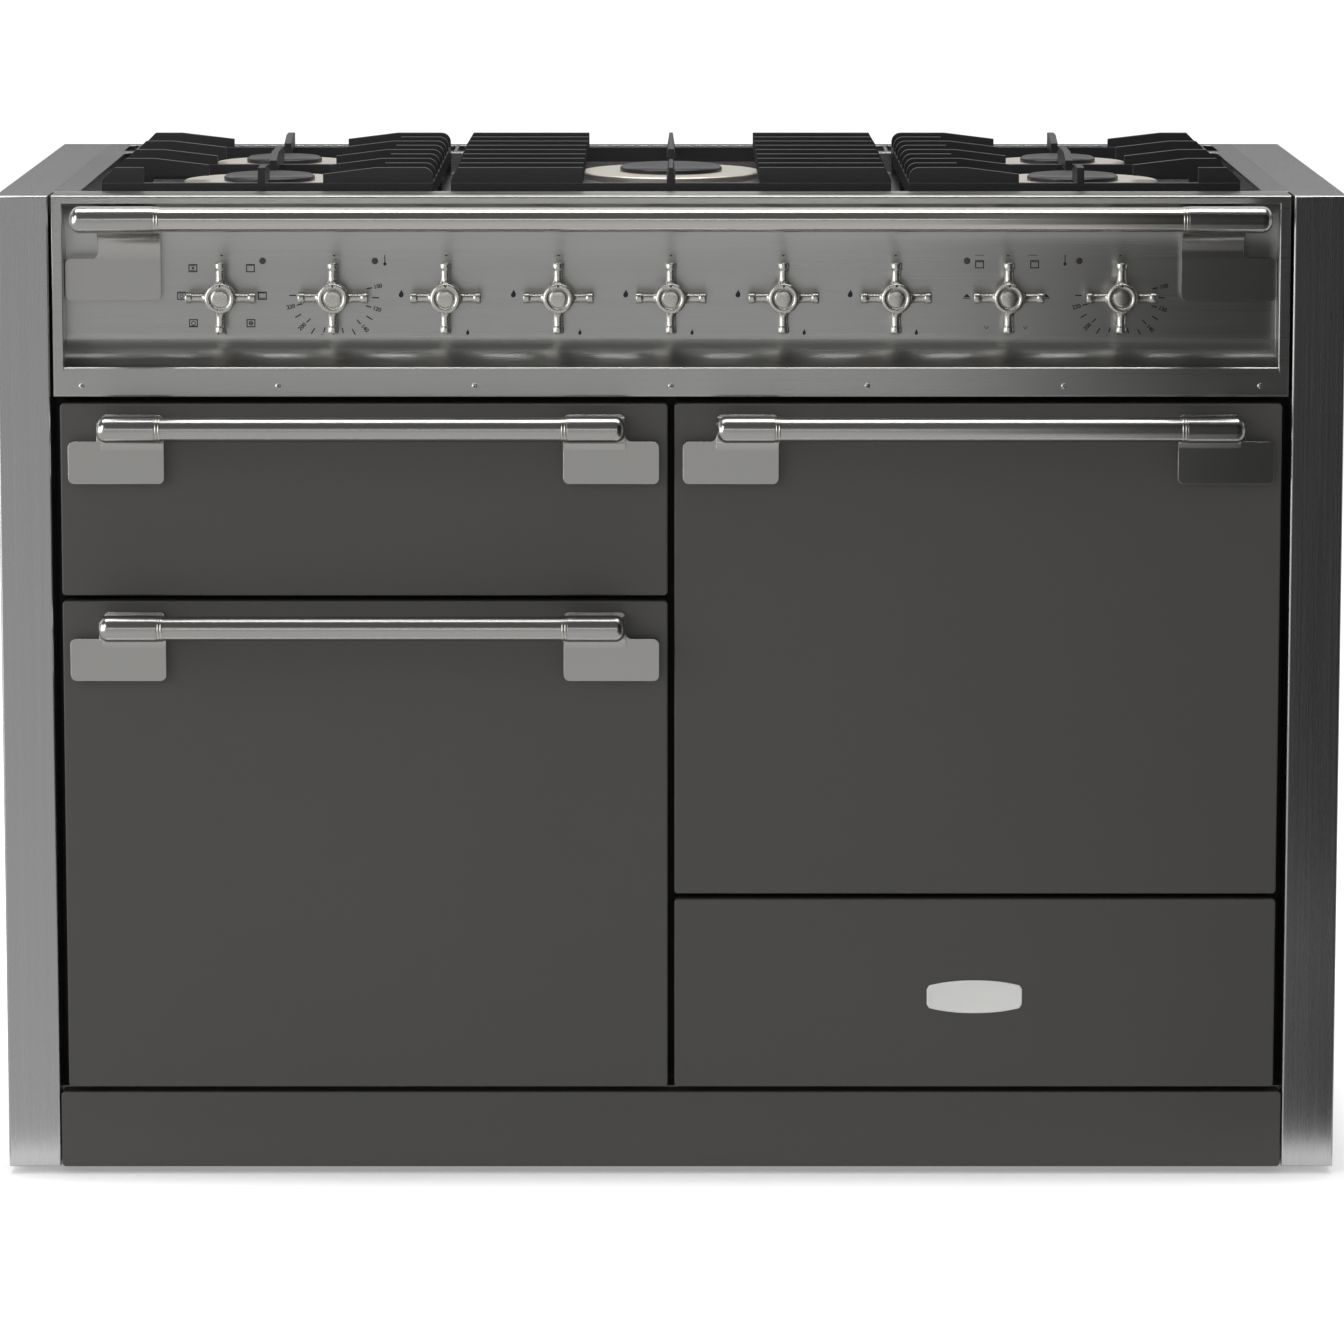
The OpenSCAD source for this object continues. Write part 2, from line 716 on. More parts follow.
// Ferrule round a rail's end, closed and rounded outside, at x = 0 pointing to -x
module ferrule(d, z, l) {
    round_r = ferrule_r - 3;
    difference() {
        translate([0, by(d), z]) rotate([0, 90, 0]) rotate_extrude() difference() {
            union() {
                translate([0, round_r]) square([ferrule_r, l - round_r]);
                square([ferrule_r - round_r, round_r]);
                intersection() {
                    translate([ferrule_r - round_r, round_r]) circle(round_r);
                    square([ferrule_r, l]);
                }
            }
            translate([0, l - socket_l]) square([rail_r + fit, socket_l + eps]);
        }
    }
}

// Rail tube between two ferrules, with rounded inner edge left open
module rail_tube(x0, x1, d, z) {
    difference() {
        rod_x(x0, x1, d, z, rail_r);
        rod_x(x0 - eps, x1 + eps, d, z, rail_r - 2);
    }
}

module fascia_rail() {
    half = fascia_rail_end - fascia_ferrule_l + socket_l - seat;
    color("gainsboro") rail_tube(-half, half, -rail_reach, fascia_rail_z);
}

// One bracket of the fascia rail: plate on the scooped face, tongue bent forward, ferrule
module fascia_bracket() {
    plate_z = fascia_plate_top - plate_low_h;
    bend_d = scoop_d - fascia_plate_t - tongue_bend_r;
    tongue_x = -fascia_plate_x + plate_w - tongue_w;
    brow_relief = 0.6;
    difference() {
        union() {
            slab(scoop_d - fascia_plate_t, fascia_plate_t)
                translate([-fascia_plate_x, plate_z]) intersection() {
                    bracket_outline(plate_up_h);
                    square([plate_w, plate_low_h]);
                }
            slab(scoop_d - fascia_plate_t, fascia_plate_t - brow_relief)
                translate([-fascia_plate_x, plate_z]) intersection() {
                    bracket_outline(plate_up_h);
                    translate([0, plate_low_h - eps]) square([plate_w, plate_r + eps]);
                }
            profile(tongue_x, tongue_w) {
                difference() {
                    translate([bend_d, fascia_plate_top]) circle(tongue_bend_r + tongue_t);
                    translate([bend_d, fascia_plate_top]) circle(tongue_bend_r);
                    translate([bend_d - 100, fascia_plate_top - 100]) square([100, 200]);
                    translate([bend_d - eps, fascia_plate_top - 100]) square([100, 100]);
                }
                translate([-rail_reach, fascia_plate_top + tongue_bend_r])
                    square([bend_d + rail_reach, tongue_t]);
            }
            translate([-fascia_rail_end, 0, 0]) ferrule(-rail_reach, fascia_rail_z, fascia_ferrule_l);
        }
        translate([-fascia_rail_end, 0, 0]) rod_x(fascia_ferrule_l - socket_l, fascia_ferrule_l + 2,
            -rail_reach, fascia_rail_z, rail_r + fit);
    }
}

module fascia_rail_brackets() {
    color("gainsboro") both_sides() fascia_bracket();
}

// Door handle: two plates with a tongue and a ferrule each, and the rail between them
module door_handle(door) {
    top = door[1] + door[2] - plate_drop;
    axis_z = top - plate_over_axis;
    edge = -door_w / 2 + plate_inset;
    ferrule_x = edge + plate_w - tongue_w;
    half = -ferrule_x - ferrule_l + socket_l - seat;
    inner_end = ferrule_x + ferrule_l;
    arm_z = axis_z - ferrule_r - 0.2;
    arm_top = axis_z + 5.8;
    step_l = 20;
    step_h = 1.2;
    web_r = 12;
    translate([door[0] * door_x, 0, 0]) color("gainsboro") {
        rail_tube(-half, half, -rail_reach, axis_z);
        both_sides() difference() {
            union() {
                slab(-plate_t, plate_t) translate([edge, top - plate_low_h - plate_up_h])
                    bracket_outline(plate_up_h);
                profile(ferrule_x, tongue_w) difference() {
                    translate([-rail_reach, arm_z]) square([rail_reach - plate_t, arm_top - arm_z]);
                    translate([-rail_reach, arm_z]) square([step_l, step_h]);
                }
                profile(ferrule_x, tongue_w) difference() {
                    translate([-plate_t - web_r, axis_z - ferrule_r - web_r]) square([web_r, web_r]);
                    translate([-plate_t - web_r, axis_z - ferrule_r - web_r]) circle(web_r);
                }
                translate([ferrule_x, 0, 0]) ferrule(-rail_reach, axis_z, ferrule_l);
            }
            rod_x(inner_end - socket_l, inner_end + 6, -rail_reach, axis_z, rail_r + fit);
        }
    }
}

// Slots in the door's back and bottom edge, where the hinge arms swing
module hinge_slots(door) {
    w = hinge_arm_t + 2 * arm_gap;
    at_hinges(door) box(-w / 2, pivot_d - hinge_arm_r - arm_gap, door[1] - eps,
        w, door_d, pivot_h + hinge_arm_r + arm_gap + eps);
}

// Places a piece at both hinges of a door
module at_hinges(door) {
    for (s = [-1, 1]) translate([door[0] * door_x + s * (door_w / 2 - hinge_inset), 0, 0]) children();
}

// Outer tray of a door
module door_panel(door) {
    x = door[0] * door_x - door_w / 2;
    color("dimgray") difference() {
        slab(0, door_skin_d) rounded(x, door[1], door_w, door[2], door_corner_r);
        slab(front_sheet, door_skin_d) rounded(x + front_sheet, door[1] + front_sheet,
            door_w - 2 * front_sheet, door[2] - 2 * front_sheet, door_corner_r - 1);
        hinge_slots(door);
    }
}

// Inner tray of a door, with a pressed panel and the knuckles of its hinges
module door_liner(door) {
    x = door[0] * door_x - door_w / 2;
    knuckle_w = 6;
    knuckle_d = 6;
    press = 3;
    margin = 34;
    side_margin = 44;
    color("darkslategray") difference() {
        union() {
            difference() {
                slab(door_skin_d, door_d - door_skin_d)
                    rounded(x, door[1], door_w, door[2], door_corner_r);
                slab(door_skin_d - eps, door_d - door_skin_d - sheet + eps) rounded(x + sheet,
                    door[1] + sheet, door_w - 2 * sheet, door[2] - 2 * sheet, door_corner_r - 1);
            }
            slab(door_d - press - sheet, press + sheet) rounded(x + side_margin, door[1] + margin,
                door_w - 2 * side_margin, door[2] - 2 * margin, cavity_r);
            at_hinges(door) box(-hinge_arm_t / 2 - arm_gap - knuckle_w, pivot_d - knuckle_d,
                door[1] + front_sheet + seat, hinge_arm_t + 2 * arm_gap + 2 * knuckle_w,
                door_d - pivot_d + knuckle_d, pivot_h + knuckle_d + 2 - front_sheet - seat);
        }
        slab(door_d - press, press + eps) rounded(x + side_margin + sheet, door[1] + margin + sheet,
            door_w - 2 * (side_margin + sheet), door[2] - 2 * (margin + sheet), cavity_r - 1);
        hinge_slots(door);
        at_hinges(door)
            rod_x(-hinge_inset / 2, hinge_inset / 2, pivot_d, door[1] + pivot_h, hinge_pin_r + fit);
    }
}

// Hinge arms on the front frame, each with its pin across the end
module door_hinges() {
    foot_w = 20;
    foot_t = 3;
    foot_h = 31;
    pin_half = hinge_arm_t / 2 + arm_gap + 5.6;
    color("gray") for (door = [grill_door, left_door, right_door]) at_hinges(door) {
        z = door[1] + pivot_h;
        rod_x(-hinge_arm_t / 2, hinge_arm_t / 2, pivot_d, z, hinge_arm_r);
        box(-hinge_arm_t / 2, pivot_d, z - hinge_arm_r, hinge_arm_t, frame_d - pivot_d, 2 * hinge_arm_r);
        box(-foot_w / 2, frame_d - foot_t, z - hinge_arm_r, foot_w, foot_t, foot_h);
        rod_x(-pin_half, pin_half, pivot_d, z, hinge_pin_r);
    }
}

// Seals round the mouths, on the front frame
module door_seals() {
    h = frame_d - door_d - seal_gap;
    inner = 4;
    step = 2;
    color("black") for (c = [grill_hole, left_hole, right_hole]) {
        difference() {
            union() {
                slab(frame_d - h / 2, h / 2) cavity_outline(c, inner + seal_w);
                slab(frame_d - h, h / 2) cavity_outline(c, inner + seal_w - step);
            }
            slab(frame_d - h / 2, h / 2 + eps) cavity_outline(c, inner);
            slab(frame_d - h - eps, h / 2 + 2 * eps) cavity_outline(c, inner + step);
        }
    }
}

// Enamelled cavity with its front flange, and ribs for the shelves
module cavity(c, levels, shaft) {
    rib_end = 12;
    difference() {
        union() {
            slab(frame_back_d, cavity_t) cavity_outline(c, flange_w);
            slab(frame_back_d, cavity_d + cavity_t) cavity_outline(c, cavity_t);
        }
        difference() {
            slab(frame_back_d - eps, cavity_d + eps) cavity_outline(c, 0);
            for (k = [1 : levels], s = [-1, 1]) {
                box(c[0] * door_x + s * (cavity_w - shelf_rib) / 2 - shelf_rib / 2, frame_back_d + rib_end,
                    shelf_z(c, k, levels) - shelf_rib,
                    shelf_rib, cavity_d - baffle_d - 2 * rib_end, shelf_rib);
            }
        }
        if (shaft) rod_y(c[0] * door_x, cavity_back_d - eps, cavity_back_d + cavity_t + eps,
            fan_z(c), fan_shaft_r + arm_gap);
    }
}

function shelf_z(c, k, levels) = c[1] + c[2] * k / (levels + 1);
function fan_z(c) = c[1] + c[2] / 2;

module left_oven_cavity() {
    color("darkslategray") cavity(left_hole, shelf_levels, true);
}

module right_oven_cavity() {
    color("darkslategray") cavity(right_hole, shelf_levels, true);
}

module grill_cavity() {
    color("darkslategray") cavity(grill_hole, 2, false);
}

// Insulation round a cavity, open at the front and round the motor
module jacket(c, t, with_motor) {
    d0 = frame_back_d + cavity_t + soft_gap;
    back = cavity_back_d + cavity_t + soft_gap;
    motor_space = motor_r + 32;
    cable_r = 30;
    difference() {
        slab(d0, back + t - d0) cavity_outline(c, cavity_t + soft_gap + t);
        slab(d0 - eps, back - d0 + eps) cavity_outline(c, cavity_t + soft_gap);
        if (!with_motor) rod_y(c[0] * door_x, back - eps, back + t + eps, fan_z(c), cable_r);
        if (with_motor) {
            rod_y(c[0] * door_x, back - eps, back + t + eps, fan_z(c), motor_space);
            slab(d0, back + t) base_element_space(c);
        }
    }
}

module base_element_space(c) {
    half = element_half + element_pitch / 2 + 15;
    translate([c[0] * door_x - half, c[1] - cavity_t - soft_gap - 2 * element_r - 1])
        square([2 * half, 2 * element_r + 2]);
}

module insulation_jackets() {
    color("khaki") {
        jacket(left_hole, jacket_t, true);
        jacket(right_hole, jacket_t, true);
        jacket(grill_hole, grill_jacket_t, false);
    }
}

// Element tube in straight legs with round bends
module serpentine(x, d0, z, legs) {
    for (i = [0 : legs - 1]) rod_x(x - element_half, x + element_half, d0 + i * element_pitch, z, element_r);
    for (i = [0 : legs - 2]) {
        side = i % 2 == 0 ? 1 : -1;
        translate([x + side * element_half, by(d0 + (i + 0.5) * element_pitch), z]) rotate([0, 0, -90 * side])
            rotate_extrude(angle = 180) translate([element_pitch / 2, 0]) circle(element_r);
    }
}

// Top element under a cavity's roof, hung from it and carried by a flange at the back
module top_element(c, legs) {
    x = c[0] * door_x;
    drop = 20;
    z = c[1] + c[2] - drop;
    d0 = frame_back_d + element_start;
    last = d0 + (legs - 1) * element_pitch;
    flange_t = 2;
    end = cavity_back_d - flange_t;
    side = legs % 2 == 0 ? -1 : 1;
    strap_x = 80;
    strap_w = 12;
    serpentine(x, d0, z, legs);
    translate([x + side * element_half, by(last), z]) sphere(element_r);
    rod_y(x + side * element_half, last, end, z, element_r);
    box(x + side * element_half - 12, end, z - 10, 24, flange_t, 20);
    for (s = [-1, 1]) box(x + s * strap_x - strap_w / 2, d0 + element_pitch - flange_t / 2, z,
        strap_w, flange_t, drop - seat);
}

// Base element on the underside of an oven's floor
module base_element(c) {
    serpentine(c[0] * door_x, frame_back_d + element_start, c[1] - cavity_t - element_r - seat, 6);
}

// Ring element round the fan, on a flange at the cavity's back
module ring_element(c) {
    x = c[0] * door_x;
    z = fan_z(c);
    d = cavity_back_d - 18;
    foot = 15;
    flange_t = 2;
    flange_w = 56;
    flange_h = 18;
    drop = sqrt(ring_element_r * ring_element_r - foot * foot);
    translate([x, by(d), z]) rotate([90, 0, 0]) rotate_extrude()
        translate([ring_element_r, 0]) circle(element_r);
    for (s = [-1, 1]) rod_y(x + s * foot, d, cavity_back_d - flange_t, z - drop, element_r);
    box(x - flange_w / 2, cavity_back_d - flange_t, z - drop - flange_h / 2, flange_w, flange_t, flange_h);
}

module heating_elements() {
    color("dimgray") {
        top_element(grill_hole, 6);
        for (c = [left_hole, right_hole]) {
            top_element(c, 4);
            base_element(c);
            ring_element(c);
        }
    }
}

// Fan baffle: a pressed cover with an intake in its middle and outlets at its sides
module fan_baffle(c) {
    intake_r = 18;
    intake_l = 34;
    intake_w = 6;
    outlet_h = 18;
    outlet_pitch = 30;
    x = c[0] * door_x;
    z = fan_z(c);
    d0 = cavity_back_d - baffle_d;
    difference() {
        slab(d0, baffle_d) rounded(x - baffle_w / 2, z - baffle_h / 2, baffle_w, baffle_h, cavity_r);
        slab(d0 + sheet, baffle_d) rounded(x - baffle_w / 2 + sheet, z - baffle_h / 2 + sheet,
            baffle_w - 2 * sheet, baffle_h - 2 * sheet, cavity_r - 1);
        for (a = [0 : 30 : 330]) translate([x, by(d0), z]) rotate([0, a, 0])
            translate([intake_r, -eps, -intake_w / 2]) cube([intake_l, sheet + 2 * eps, intake_w]);
        for (s = [-1, 1], k = [-3 : 3]) box(x + s * baffle_w / 2 - 4, d0 + 12,
            z + k * outlet_pitch - outlet_h / 2, 8, 22, outlet_h);
    }
}

module fan_baffles() {
    color("slategray") {
        fan_baffle(left_hole);
        fan_baffle(right_hole);
    }
}

// Fan wheel with its shaft
module oven_fan(c) {
    x = c[0] * door_x;
    z = fan_z(c);
    disc_d = cavity_back_d - 8;
    disc_t = 1.5;
    hub = 12;
    blades = 10;
    blade_d = 20;
    color("lightgray") {
        rod_y(x, disc_d - blade_d, cavity_back_d + cavity_t + motor_gap + motor_l - 8, z, fan_shaft_r);
        rod_y(x, disc_d - 14, disc_d + 4, z, hub);
        rod_y(x, disc_d, disc_d + disc_t, z, fan_r);
        for (k = [0 : blades - 1]) translate([x, by(disc_d), z]) rotate([0, k * 360 / blades, 0])
            translate([fan_r * 0.6, -blade_d, -0.6]) cube([fan_r * 0.36, blade_d + 0.5, 1.2]);
    }
}

// Fan motor on a bracket behind the cavity
module fan_motor(c) {
    x = c[0] * door_x;
    z = fan_z(c);
    d0 = cavity_back_d + cavity_t;
    strap_w = 120;
    strap_h = 24;
    strap_t = 2;
    pillar_r = 4;
    difference() {
        union() {
            box(x - strap_w / 2, d0, z - strap_h / 2, strap_w, strap_t, strap_h);
            rod_y(x, d0, d0 + strap_t, z, motor_r - 8);
            rod_y(x, d0 + motor_gap, d0 + motor_gap + motor_l, z, motor_r);
            for (a = [0, 90, 180, 270]) translate([x, 0, z]) rotate([0, a, 0])
                rod_y(motor_r - 14, d0 + 1, d0 + motor_gap + 1, 0, pillar_r);
        }
        rod_y(x, d0 - eps, d0 + motor_gap + motor_l - 6, z, fan_shaft_r + fit);
    }
}

module fan_motors() {
    color("gray") {
        fan_motor(left_hole);
        fan_motor(right_hole);
    }
}

// Wire rack on the ribs of level k
module rack(c, k) {
    x = c[0] * door_x;
    z = shelf_z(c, k, shelf_levels) + rack_edge_r + seat;
    half = cavity_w / 2 - rack_edge_r - 1.5;
    d0 = frame_back_d + 14;
    l = cavity_d - baffle_d - 30;
    bar_r = rack_edge_r - 0.5;
    for (s = [-1, 1]) rod_y(x + s * half, d0, d0 + l, z, rack_edge_r);
    for (d = [d0 + 2 * rack_edge_r, d0 + l - 2 * rack_edge_r]) rod_x(x - half, x + half, d, z, bar_r);
    for (i = [1 : rack_wires]) rod_y(x - half + 2 * half * i / (rack_wires + 1), d0 + 2 * rack_edge_r + 1,
        d0 + l - 2 * rack_edge_r - 1, z, rack_wire_r);
}

module oven_racks() {
    color("silver") for (c = [left_hole, right_hole], k = [2, 4]) rack(c, k);
}

// Grill pan with its grid and front handle, on the lower ribs of the grill
module grill_pan() {
    x = grill_hole[0] * door_x;
    z = shelf_z(grill_hole, 1, 2) + seat;
    w = cavity_w - 4;
    d0 = frame_back_d + 30;
    pan_w = cavity_w - 2 * shelf_rib - 12;
    rim_t = 2;
    pan_z = z + rim_t - grill_pan_h;
    bar_r = rack_wire_r + 0.5;
    grid_z = z + rim_t + bar_r + seat;
    grid_end = bar_r + 0.5;
    grid_x = pan_w / 2 - 12;
    grid_bars = 16;
    grip_x = 60;
    grip_reach = 20;
    grip_r = 5;
    lug_w = 8;
    color("dimgray") {
        difference() {
            union() {
                box(x - w / 2, d0, z, w, grill_pan_d, rim_t);
                box(x - pan_w / 2, d0, pan_z, pan_w, grill_pan_d, grill_pan_h);
            }
            box(x - pan_w / 2 + sheet, d0 + sheet, pan_z + sheet,
                pan_w - 2 * sheet, grill_pan_d - 2 * sheet, grill_pan_h);
        }
        for (s = [-1, 1])
            box(x + s * grip_x - lug_w / 2, d0 - grip_reach, z - 12, lug_w, grip_reach, grip_r);
        rod_x(x - grip_x - lug_w / 2, x + grip_x + lug_w / 2, d0 - grip_reach, z - 9.5, grip_r);
    }
    color("silver") {
        for (i = [0 : grid_bars])
            rod_y(x - grid_x + 2 * grid_x * i / grid_bars, d0 + grid_end, d0 + grill_pan_d - grid_end,
                grid_z, rack_wire_r);
        for (d = [d0 + bar_r, d0 + grill_pan_d / 2, d0 + grill_pan_d - bar_r])
            rod_x(x - grid_x - 4, x + grid_x + 4, d, grid_z, bar_r);
    }
}

// Fixed drawer runners: plates that stand on the base pan, each with a channel
module drawer_runners() {
    d0 = frame_back_d;
    end_d = door_skin_d + drawer_l;
    l = end_d - d0;
    web_d = frame_d + frame_fold + arm_gap;
    z0 = base_floor_z + sheet;
    wall = 1.5;
    foot_w = 16;
    color("gray") for (s = [-1, 1]) translate([drawer_x, 0, 0]) scale_side(s) difference() {
        union() {
            box(runner_x, web_d, z0, wall, end_d - web_d, runner_z + runner_h + 8 - z0);
            box(runner_x, web_d, z0, foot_w, end_d - web_d, wall);
            box(runner_x - runner_rail, d0, runner_z - slide_gap - wall, runner_rail + wall, l,
                runner_h + 2 * slide_gap + 2 * wall);
        }
        box(runner_x - runner_rail - eps, d0 - eps, runner_z - slide_gap, runner_rail + eps, l + 2 * eps,
            runner_h + 2 * slide_gap);
    }
}

// Turns a piece drawn on the right into the left one for s = -1
module scale_side(s) {
    if (s > 0) children();
    if (s < 0) mirror([1, 0, 0]) children();
}

// Drawer box with the rails that run in the channels
module drawer_box() {
    w = drawer_box_w;
    rail_d = frame_back_d + 4;
    color("gray") translate([drawer_x, 0, 0]) {
        difference() {
            box(-w / 2, door_skin_d, drawer_z, w, drawer_l, drawer_box_h);
            box(-w / 2 + sheet, door_skin_d + sheet, drawer_z + sheet,
                w - 2 * sheet, drawer_l - 2 * sheet, drawer_box_h);
        }
        both_sides() box(w / 2, rail_d, runner_z,
            runner_x - w / 2 - slide_gap, drawer_l + door_skin_d - rail_d, runner_h);
    }
}

// Drawer front, a tray like a door's with a stiffening return
module drawer_front() {
    x = drawer_door[0] * door_x - door_w / 2;
    z = drawer_door[1];
    h = drawer_door[2];
    side = 60;
    margin = 30;
    color("dimgray") difference() {
        slab(0, door_skin_d) rounded(x, z, door_w, h, door_corner_r);
        slab(front_sheet, door_skin_d - 2 * front_sheet) rounded(x + front_sheet, z + front_sheet,
            door_w - 2 * front_sheet, h - 2 * front_sheet, door_corner_r - 1);
        slab(door_skin_d - 2 * front_sheet, 3 * front_sheet) rounded(x + side, z + margin,
            door_w - 2 * side, h - 2 * margin, cavity_r);
    }
}

// Knob with four arms, and the spindle that works its switch or tap
module knob(i) {
    gas = i >= gas_knobs[0] && i <= gas_knobs[len(gas_knobs) - 1];
    x = knob_x(i);
    face_d = knob_back_d - knob_l;
    arm_d = face_d + arm_back;
    spindle_end = gas ? plug_front_d + spindle_grip : tap_front_d + switch_d - 8;
    color("antiquewhite") translate([x, 0, knob_z]) {
        difference() {
            turned_y(0, face_d, 0) knob_section();
            // Index mark on the rim, above the axis
            rod_y(0, face_d - eps, face_d + 1.2, hub_r - 2.6, 1);
        }
        for (a = [0, 90, 180, 270]) translate([0, by(arm_d), 0]) rotate([0, a, 0]) rotate([0, 90, 0])
            rotate_extrude() arm_section();
        difference() {
            rod_y(0, knob_back_d - 4, spindle_end, 0, spindle_r);
            box(spindle_flat, tap_front_d, -spindle_r - eps, spindle_r, spindle_end, 2 * (spindle_r + eps));
        }
    }
}

// Hub: radius against distance back from the face, with a ring, a groove and a disc
module knob_section() {
    groove = 1.4;
    shoulder = arm_back + arm_r + 2;
    neck_r = hub_r - 4;
    polygon([
        [0, 0.8], [hub_disc_r, 0.8], [hub_disc_r, 2.2], [hub_disc_r + groove, 2.2],
        [hub_disc_r + groove, 0.9], [hub_r - 3.2, 0], [hub_r - 1.4, 0], [hub_r, 1.6],
        [hub_r, shoulder], [neck_r, shoulder + 3], [neck_r, knob_l - 2],
        [neck_r + 1.5, knob_l - 1], [neck_r + 1.5, knob_l], [0, knob_l]
    ]);
}

// Arm: radius against distance from the knob's axis
module arm_section() {
    collar = arm_reach - arm_collar_l;
    root_r = arm_r + 2.2;
    polygon([
        [0, 0], [root_r, 0], [root_r, hub_r - 1], [arm_r, hub_r + 3], [arm_r - 0.4, collar - 2],
        [arm_collar_r, collar], [arm_collar_r, arm_reach - 1.2],
        [arm_collar_r - 1.2, arm_reach], [0, arm_reach]
    ]);
}

// Tap plug that turns in its tap body and lets the spindle slide in
module tap_plug(i) {
    color("goldenrod") translate([knob_x(i), 0, knob_z]) difference() {
        rod_y(0, plug_front_d + seat, plug_front_d + plug_l - seat, 0, plug_r);
        difference() {
            rod_y(0, plug_front_d - eps, plug_front_d + spindle_grip + knob_push + 2, 0, spindle_r + fit);
            box(spindle_flat + fit, plug_front_d - 2 * eps, -plug_r, plug_r, plug_l, 2 * plug_r);
        }
        rod_z(0, tap_out_d, -plug_r - eps, plug_r + eps, pipe_r - 1.5);
    }
}

// Manifold pipe with the tap bodies and the run back to the inlet
module gas_manifold() {
    end_d = body_d - 5;
    color("darkkhaki") difference() {
        union() {
            rod_x(knob_x(2) - 20, inlet_x, manifold_d, knob_z, manifold_r);
            translate([inlet_x, by(manifold_d), knob_z]) sphere(manifold_r);
            rod_y(inlet_x, manifold_d, end_d - inlet_l, knob_z, inlet_run_r);
            rod_y(inlet_x, end_d - inlet_l - eps, end_d, knob_z, inlet_r);
            for (i = gas_knobs) {
                rod_y(knob_x(i), tap_front_d, plug_front_d + plug_l + 4, knob_z, tap_r);
                rod_y(knob_x(i), plug_front_d + plug_l, manifold_d, knob_z, 8);
                rod_z(knob_x(i), tap_out_d, knob_z, tap_out_z, pipe_r + 2);
            }
        }
        rod_x(knob_x(2) - 18, inlet_x, manifold_d, knob_z, manifold_r - 2.5);
        rod_y(inlet_x, manifold_d, end_d + eps, knob_z, inlet_run_r - 2);
        for (i = gas_knobs) {
            rod_y(knob_x(i), tap_front_d - eps, plug_front_d + eps, knob_z, spindle_r + 2 * fit);
            rod_y(knob_x(i), plug_front_d, plug_front_d + plug_l, knob_z, plug_r + fit);
        }
    }
}

// Pipe through a list of points, with a ball at each bend
module pipe_run(points) {
    for (i = [1 : len(points) - 1]) {
        a = points[i - 1];
        b = points[i];
        if (a[0] != b[0]) rod_x(min(a[0], b[0]), max(a[0], b[0]), a[1], a[2], pipe_r);
        if (a[1] != b[1]) rod_y(a[0], min(a[1], b[1]), max(a[1], b[1]), a[2], pipe_r);
        if (a[2] != b[2]) rod_z(a[0], a[1], min(a[2], b[2]), max(a[2], b[2]), pipe_r);
        if (i < len(points) - 1) translate([b[0], by(b[1]), b[2]]) sphere(pipe_r);
    }
}

// Pipes from the taps to the jets under the burners
module gas_pipes() {
    z0 = tap_out_z;
    z1 = hob_under_z - throat_l - seat;
    lane = burner_x - 40;
    color("darkgoldenrod") {
        pipe_run([[0, tap_out_d, z0], [0, tap_out_d, pipe_low_z],
            [0, row_d(middle_row), pipe_low_z], [0, row_d(middle_row), z1]]);
        for (s = [-1, 1]) {
            x = s * burner_x;
            k = s * knob_pitch;
            pipe_run([[2 * k, tap_out_d, z0], [2 * k, tap_out_d, pipe_low_z], [x, tap_out_d, pipe_low_z],
                [x, row_d(front_row), pipe_low_z], [x, row_d(front_row), z1]]);
            pipe_run([[k, tap_out_d, z0], [k, tap_out_d, pipe_high_z], [s * lane, tap_out_d, pipe_high_z],
                [s * lane, row_d(back_row), pipe_high_z], [x, row_d(back_row), pipe_high_z],
                [x, row_d(back_row), z1]]);
        }
    }
}

// Bodies of the four electric controls, on the back of the fascia
module control_switches() {
    color("ivory") for (i = electric_knobs) translate([knob_x(i), 0, knob_z]) difference() {
        union() {
            box(-switch_w / 2, tap_front_d + 3, -switch_w / 2, switch_w, switch_d - 3, switch_w);
            rod_y(0, tap_front_d, tap_front_d + 4, 0, 9);
        }
        rod_y(0, tap_front_d - eps, tap_front_d + switch_d - 4, 0, spindle_r + fit);
    }
}

// Indicator lamps: a lens in the fascia and a holder behind it
module indicator_lamps() {
    color("darkred") for (m = lamp_holes) {
        x = knob_x(m[0]) + m[1] * lamp_dx;
        z = knob_z + lamp_dz;
        rod_y(x, scoop_d - 0.8, scoop_back_d + 1, z, lamp_r - fit);
        rod_y(x, scoop_back_d, scoop_back_d + 14, z, lamp_r + 2);
    }
}

// Hob tray with its well and the holes of the burners
module hob_tray() {
    w = panel_x;
    in = w - well_rim;
    rim_d = 4;
    color("silver") difference() {
        box(-w, fascia_d, hob_under_z, 2 * w, hob_d, worktop_z - hob_under_z);
        translate([0, 0, well_z]) linear_extrude(well_d + eps) translate([-in, by(fascia_d) + rim_d])
            rounded(0, 0, 2 * in, hob_d - 2 * rim_d, cavity_r);
        both_sides() box(in + hob_sheet, fascia_d + rim_d, hob_under_z - eps,
            well_rim - 2 * hob_sheet, hob_d - 2 * rim_d, worktop_z - hob_sheet - hob_under_z + eps);
        for (b = burners) rod_z(b[0], b[1], hob_under_z - eps, well_z + eps, throat_r + 4);
    }
}

// Vent trim behind the hob, with its row of slots
module vent_grille() {
    l = body_d - hob_back_d;
    half = floor((panel_x - 12) / vent_pitch);
    color("silver") difference() {
        box(-panel_x, hob_back_d, worktop_z - lip, 2 * panel_x, l, lip);
        box(-panel_x + sheet, hob_back_d + sheet, worktop_z - lip - eps, 2 * (panel_x - sheet),
            l - 2 * sheet, lip - sheet + eps);
        for (k = [-half : half]) box(k * vent_pitch - vent_slot_w / 2, hob_back_d + (l - vent_slot_l) / 2,
            worktop_z - sheet - eps, vent_slot_w, vent_slot_l, sheet + 2 * eps);
    }
}

